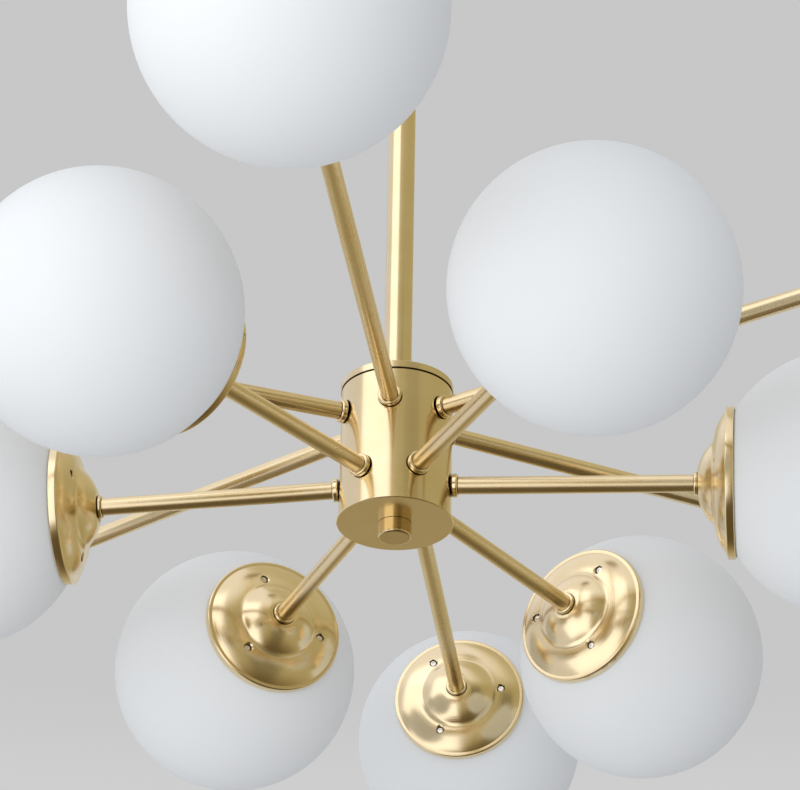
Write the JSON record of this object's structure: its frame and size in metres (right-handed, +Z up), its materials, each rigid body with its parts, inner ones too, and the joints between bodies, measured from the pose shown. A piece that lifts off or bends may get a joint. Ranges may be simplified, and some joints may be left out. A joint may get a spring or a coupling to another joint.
{
  "type": "bubble chandelier",
  "caption": "Bubble chandelier with opal glass globes in brass cups at the ends of two tiers of straight brass arms round a cylindrical hub, hung from a ceiling canopy on a rigid rod.",
  "frame": {"origin": "middle of the ceiling face, between the two screw slots of the ceiling bracket", "axes": "+Z up into the ceiling along the rod, X along the ceiling bracket, one long arm along -Y"},
  "size_m": [0.8856, 0.9994, 0.5973],
  "materials": {
    "satin_brass": "satin, brushed lengthwise",
    "spun_brass": "spun, satin gloss",
    "brass_thread": "machined",
    "zinc_steel": "zinc plated",
    "screw_steel": "plated",
    "opal_glass": "etched matt opal white",
    "silicone": "soft matt",
    "holder_white": "glazed white",
    "block_plastic": "moulded",
    "bulb_white": "frosted"
  },
  "bodies": {
    "frame": {"ceiling_bracket": "zinc_steel", "bracket_screws": "zinc_steel", "terminal_block": "block_plastic", "down_rod": "satin_brass", "rod_plugs": "brass_thread", "threaded_tubes": "brass_thread", "stem_nuts": "brass_thread", "hub_cap": "satin_brass", "hub_shell": "satin_brass", "hub_collars": "satin_brass", "cup_collars": "satin_brass", "arm_locknuts": "brass_thread", "cup_screws": "screw_steel", "gallery_rings": "zinc_steel", "globe_seals": "silicone", "holder_caps": "zinc_steel", "upper_lamp_holders": "holder_white", "lower_lamp_holders": "holder_white", "upper_cups": "spun_brass", "lower_cups": "spun_brass", "upper_arm_1": "satin_brass", "upper_arm_2": "satin_brass", "upper_arm_3": "satin_brass", "upper_arm_4": "satin_brass", "upper_arm_5": "satin_brass", "upper_arm_6": "satin_brass", "lower_arm_1": "satin_brass", "lower_arm_2": "satin_brass", "lower_arm_3": "satin_brass", "lower_arm_4": "satin_brass", "lower_arm_5": "satin_brass", "lower_arm_6": "satin_brass"},
    "canopy": {"canopy": "satin_brass", "canopy_collar": "satin_brass", "canopy_grub_screw": "zinc_steel"},
    "finial_knob": {"finial_knob": "satin_brass"},
    "upper_globe_1": {"upper_globe_1": "opal_glass"},
    "upper_bulb_1": {"upper_bulb_1": "bulb_white"},
    "upper_globe_2": {"upper_globe_2": "opal_glass"},
    "upper_bulb_2": {"upper_bulb_2": "bulb_white"},
    "upper_globe_3": {"upper_globe_3": "opal_glass"},
    "upper_bulb_3": {"upper_bulb_3": "bulb_white"},
    "upper_globe_4": {"upper_globe_4": "opal_glass"},
    "upper_bulb_4": {"upper_bulb_4": "bulb_white"},
    "upper_globe_5": {"upper_globe_5": "opal_glass"},
    "upper_bulb_5": {"upper_bulb_5": "bulb_white"},
    "upper_globe_6": {"upper_globe_6": "opal_glass"},
    "upper_bulb_6": {"upper_bulb_6": "bulb_white"},
    "lower_globe_1": {"lower_globe_1": "opal_glass"},
    "lower_bulb_1": {"lower_bulb_1": "bulb_white"},
    "lower_globe_2": {"lower_globe_2": "opal_glass"},
    "lower_bulb_2": {"lower_bulb_2": "bulb_white"},
    "lower_globe_3": {"lower_globe_3": "opal_glass"},
    "lower_bulb_3": {"lower_bulb_3": "bulb_white"},
    "lower_globe_4": {"lower_globe_4": "opal_glass"},
    "lower_bulb_4": {"lower_bulb_4": "bulb_white"},
    "lower_globe_5": {"lower_globe_5": "opal_glass"},
    "lower_bulb_5": {"lower_bulb_5": "bulb_white"},
    "lower_globe_6": {"lower_globe_6": "opal_glass"},
    "lower_bulb_6": {"lower_bulb_6": "bulb_white"}
  },
  "joints": [
    {"name": "canopy_slide", "type": "slide", "parent": "frame", "child": "canopy", "axis": [0, 0, -1], "range_m": [0, 0.12]},
    {"name": "finial_knob_turn", "type": "hinge", "parent": "frame", "child": "finial_knob", "pos_m": [0, 0, -0.542], "axis": [0, 0, 1], "continuous": true},
    {"name": "upper_globe_1_pull", "type": "slide", "parent": "frame", "child": "upper_globe_1", "axis": [0, -0.9994, -0.0349], "range_m": [0, 0.095]},
    {"name": "upper_bulb_1_pull", "type": "slide", "parent": "frame", "child": "upper_bulb_1", "axis": [0, -0.9994, -0.0349], "range_m": [0, 0.018]},
    {"name": "upper_globe_2_pull", "type": "slide", "parent": "frame", "child": "upper_globe_2", "axis": [0.8655, -0.4997, -0.0349], "range_m": [0, 0.095]},
    {"name": "upper_bulb_2_pull", "type": "slide", "parent": "frame", "child": "upper_bulb_2", "axis": [0.8655, -0.4997, -0.0349], "range_m": [0, 0.018]},
    {"name": "upper_globe_3_pull", "type": "slide", "parent": "frame", "child": "upper_globe_3", "axis": [0.8655, 0.4997, -0.0349], "range_m": [0, 0.095]},
    {"name": "upper_bulb_3_pull", "type": "slide", "parent": "frame", "child": "upper_bulb_3", "axis": [0.8655, 0.4997, -0.0349], "range_m": [0, 0.018]},
    {"name": "upper_globe_4_pull", "type": "slide", "parent": "frame", "child": "upper_globe_4", "axis": [0, 0.9994, -0.0349], "range_m": [0, 0.095]},
    {"name": "upper_bulb_4_pull", "type": "slide", "parent": "frame", "child": "upper_bulb_4", "axis": [0, 0.9994, -0.0349], "range_m": [0, 0.018]},
    {"name": "upper_globe_5_pull", "type": "slide", "parent": "frame", "child": "upper_globe_5", "axis": [-0.8655, 0.4997, -0.0349], "range_m": [0, 0.095]},
    {"name": "upper_bulb_5_pull", "type": "slide", "parent": "frame", "child": "upper_bulb_5", "axis": [-0.8655, 0.4997, -0.0349], "range_m": [0, 0.018]},
    {"name": "upper_globe_6_pull", "type": "slide", "parent": "frame", "child": "upper_globe_6", "axis": [-0.8655, -0.4997, -0.0349], "range_m": [0, 0.095]},
    {"name": "upper_bulb_6_pull", "type": "slide", "parent": "frame", "child": "upper_bulb_6", "axis": [-0.8655, -0.4997, -0.0349], "range_m": [0, 0.018]},
    {"name": "lower_globe_1_pull", "type": "slide", "parent": "frame", "child": "lower_globe_1", "axis": [0.4997, -0.8655, -0.0349], "range_m": [0, 0.095]},
    {"name": "lower_bulb_1_pull", "type": "slide", "parent": "frame", "child": "lower_bulb_1", "axis": [0.4997, -0.8655, -0.0349], "range_m": [0, 0.018]},
    {"name": "lower_globe_2_pull", "type": "slide", "parent": "frame", "child": "lower_globe_2", "axis": [0.9994, 0, -0.0349], "range_m": [0, 0.095]},
    {"name": "lower_bulb_2_pull", "type": "slide", "parent": "frame", "child": "lower_bulb_2", "axis": [0.9994, 0, -0.0349], "range_m": [0, 0.018]},
    {"name": "lower_globe_3_pull", "type": "slide", "parent": "frame", "child": "lower_globe_3", "axis": [0.4997, 0.8655, -0.0349], "range_m": [0, 0.095]},
    {"name": "lower_bulb_3_pull", "type": "slide", "parent": "frame", "child": "lower_bulb_3", "axis": [0.4997, 0.8655, -0.0349], "range_m": [0, 0.018]},
    {"name": "lower_globe_4_pull", "type": "slide", "parent": "frame", "child": "lower_globe_4", "axis": [-0.4997, 0.8655, -0.0349], "range_m": [0, 0.095]},
    {"name": "lower_bulb_4_pull", "type": "slide", "parent": "frame", "child": "lower_bulb_4", "axis": [-0.4997, 0.8655, -0.0349], "range_m": [0, 0.018]},
    {"name": "lower_globe_5_pull", "type": "slide", "parent": "frame", "child": "lower_globe_5", "axis": [-0.9994, 0, -0.0349], "range_m": [0, 0.095]},
    {"name": "lower_bulb_5_pull", "type": "slide", "parent": "frame", "child": "lower_bulb_5", "axis": [-0.9994, 0, -0.0349], "range_m": [0, 0.018]},
    {"name": "lower_globe_6_pull", "type": "slide", "parent": "frame", "child": "lower_globe_6", "axis": [-0.4997, -0.8655, -0.0349], "range_m": [0, 0.095]},
    {"name": "lower_bulb_6_pull", "type": "slide", "parent": "frame", "child": "lower_bulb_6", "axis": [-0.4997, -0.8655, -0.0349], "range_m": [0, 0.018]}
  ]
}
